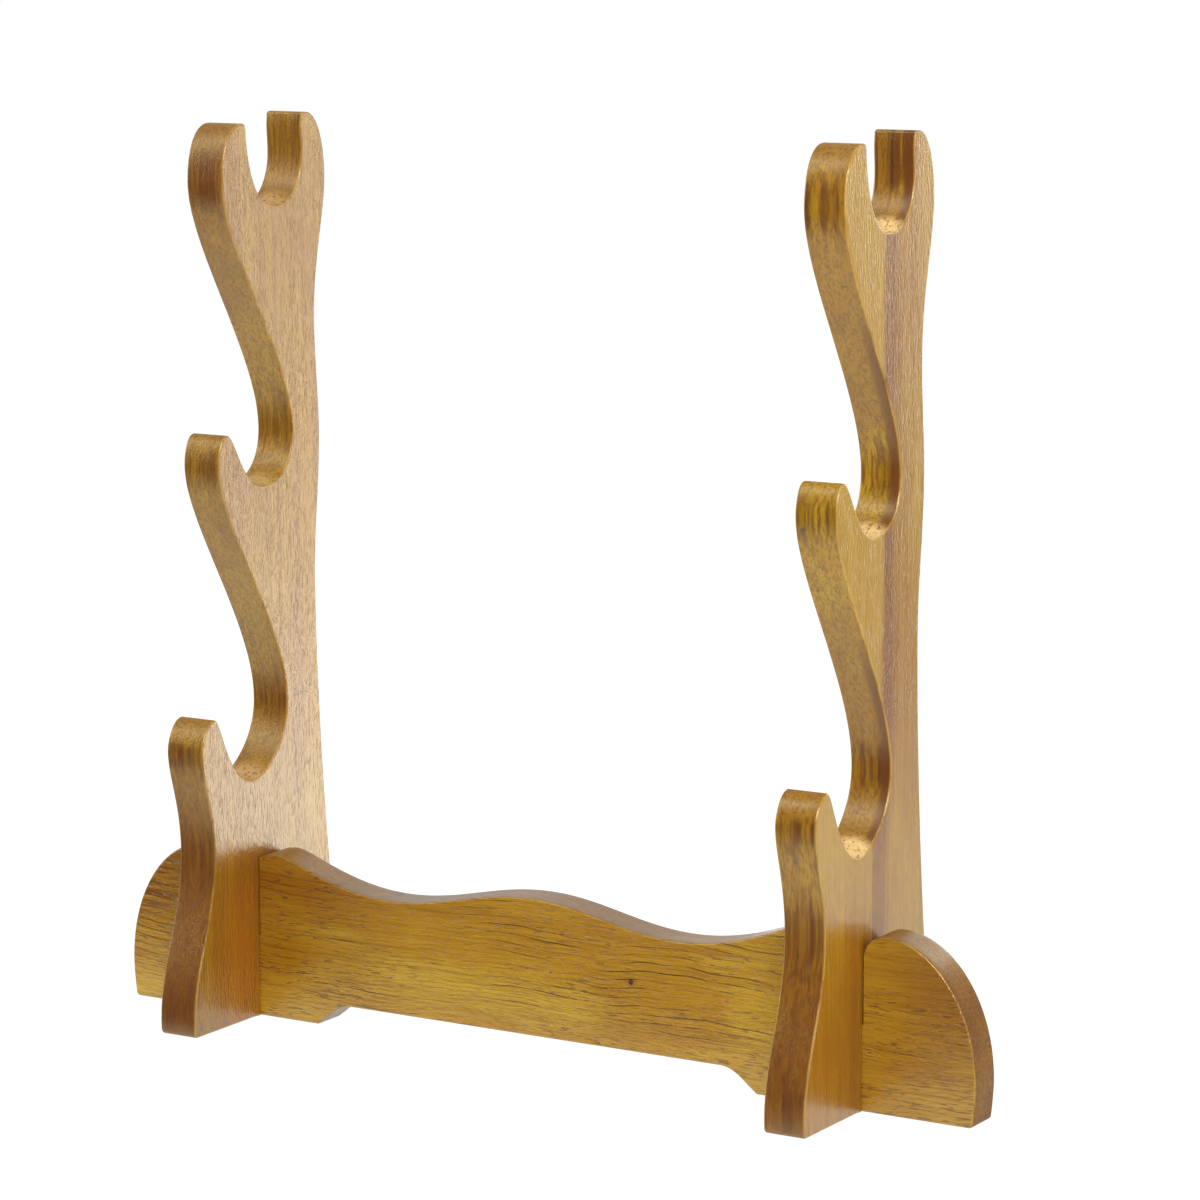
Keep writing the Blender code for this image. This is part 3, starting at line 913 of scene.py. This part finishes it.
paper = Recipe("white_paper")
spot = paper.node("ShaderNodeTexCoord", {}, out="Object")
matt = paper.node("ShaderNodeBsdfDiffuse", {}, grey(PAPER_GREY))
glow = paper.node("ShaderNodeEmission", {}, WHITE, SEEN_GLOW)
shaded = paper.node("ShaderNodeBsdfDiffuse", {}, grey(SEEN_GREY))
seen = paper.node("ShaderNodeAddShader", {}, glow, shaded)
level = paper.node("ShaderNodeLayerWeight", {}, 0.5, out="Facing")
steep = paper.rise(level, 0.35, 0.72, 1.0, 0.0)
away = paper.node("ShaderNodeVectorMath", {"operation": "LENGTH"}, spot, out="Value")
spread = room_light(paper, spot, PAPER_WAY, -0.60, 0.60, PAPER_BRIGHT)
spread = spread * paper.rise(away, 0.40, 1.4, 1.25, 0.38)
depth_here = Wire(paper, paper.node("ShaderNodeSeparateXYZ", {}, spot).socket.node.outputs[Y])
close = paper.rise(depth_here, -0.080, -0.050) * paper.rise(away, 0.25, 0.50, 1.0, 0.0)
mirrored = paper.node("ShaderNodeEmission", {}, WHITE,
                      steep.math("MAXIMUM", spread).math("MAXIMUM", close))
surface = paper.node("ShaderNodeMixShader", {}, ray_is(paper, "Is Glossy Ray"), matt, mirrored)
surface = paper.node("ShaderNodeMixShader", {},
                     ray_is(paper, "Is Camera Ray", "Is Transmission Ray"), surface, seen)
paper.node("ShaderNodeOutputMaterial", {}, Surface=surface)

corners = FLOOR_HALF * np.array([(-1, -1, 0), (1, -1, 0), (1, 1, 0), (-1, 1, 0)], float)
floor_mesh = bpy.data.meshes.new("floor")
floor_mesh.from_pydata(corners, [], [(0, 1, 2, 3)])
floor_mesh.materials.append(paper.material)
floor = bpy.data.objects.new("floor", floor_mesh)
floor.location = (0.0, 0.0, -FLOOR_DROP)
bpy.context.scene.collection.objects.link(floor)
print("floor:", 2 * FLOOR_HALF, "m square")


# %% The air of the room
class RoomRecipe(Recipe):
    """The same node writer for the world."""

    def __init__(self, world):
        self.tree = world.node_tree
        self.tree.nodes.clear()


world = bpy.data.worlds.new("white_room")
bpy.context.scene.world = world
world.use_nodes = True
air = RoomRecipe(world)
way = air.node("ShaderNodeTexCoord", {}, out="Generated")
lit = air.node("ShaderNodeBackground", {}, WHITE,
               room_light(air, way, SKY_WAY, -0.45, 0.95, SKY_BRIGHT))
white = air.node("ShaderNodeBackground", {}, WHITE, 1.0)
shown = air.node("ShaderNodeMixShader", {},
                 ray_is(air, "Is Camera Ray", "Is Transmission Ray"), lit, white)
air.node("ShaderNodeOutputWorld", {}, Surface=shown)
print("room:", world.name)

# %% [markdown]
# ## Soft lights
#
# A softbox is a cloth window with a lamp behind it, so its highlight on the
# lacquer is broad and soft.  An area light with a size is the same thing.  The
# last one is a small bright card behind the stand, whose pale sheen lies on
# the left upright's side.

# %% Softboxes
MIDDLE = (0.0, 0.0, 0.18)
CARD_TARGET = (-0.19, -0.06, 0.92)
# name, place, what it faces, width and height in metres, watts
SOFTBOXES = (
    ("key_softbox", (1.1, -1.7, 1.5), MIDDLE, (1.0, 1.0), 38.0),
    ("upper_left_softbox", (-0.90, -0.92, 1.60), MIDDLE, (0.8, 0.8), 4.5),
    ("top_softbox", (0.2, -0.3, 2.2), MIDDLE, (1.0, 1.0), 5.0),
    ("right_softbox", (1.9, 0.2, 0.6), MIDDLE, (0.5, 1.0), 9.0),
    ("left_softbox", (-1.8, -0.8, 0.9), MIDDLE, (0.8, 0.8), 6.0),
    ("back_card", (0.145, 0.405, 0.205), CARD_TARGET, (0.24, 0.76), 1.28),
)


def softbox(name, place, target, size, power):
    """A rectangular area light that faces a target, unseen by the camera."""
    lamp = bpy.data.lights.new(name, "AREA")
    lamp.shape, lamp.energy = "RECTANGLE", power
    lamp.size, lamp.size_y = size
    lamp_object = bpy.data.objects.new(name, lamp)
    lamp_object.location = place
    aim = Vector(target) - Vector(place)
    lamp_object.rotation_euler = aim.to_track_quat("-Z", "Y").to_euler()
    lamp_object.visible_camera = False
    bpy.context.scene.collection.objects.link(lamp_object)


for settings in SOFTBOXES:
    softbox(*settings)
print("soft lights:", len(SOFTBOXES))

# %% [markdown]
# ## The camera of the photograph
#
# Matching points on the two equal uprights tell where the photographer stood
# and how long the lens was.  A camera could be turned by eye until the picture
# fits.  Setting the worked-out place, three angles and focal length puts it
# there at once.

# %% The camera of the photograph
PICTURE_WIDTH, SENSOR_WIDTH = 1200, 36.0
FOCAL_PIXELS = 4433.8
CAMERA_PLACE = (0.94676, -1.48197, 0.47796)
YAW, PITCH, ROLL = radians(31.749), radians(9.362), radians(-0.248)

forward = Vector((-sin(YAW) * cos(PITCH), cos(YAW) * cos(PITCH), -sin(PITCH)))
level_right = Vector((cos(YAW), sin(YAW), 0.0))
level_up = level_right.cross(forward)
right = level_right * cos(ROLL) + level_up * sin(ROLL)
up = level_up * cos(ROLL) - level_right * sin(ROLL)
lens = bpy.data.cameras.new("camera")
lens.sensor_width = SENSOR_WIDTH
lens.lens = FOCAL_PIXELS / PICTURE_WIDTH * SENSOR_WIDTH
camera = bpy.data.objects.new("camera", lens)
turn = Matrix((right, up, -forward)).transposed().to_4x4()
camera.matrix_world = Matrix.Translation(CAMERA_PLACE) @ turn
bpy.context.scene.collection.objects.link(camera)
bpy.context.scene.camera = camera
bpy.context.scene.view_settings.view_transform = "Standard"
print("lens: %.1f mm" % lens.lens)

# %% [markdown]
# ## The end
#
# The dressed stand should be as big as the packed solids.

# %% Update the scene and finish
bpy.context.view_layer.update()
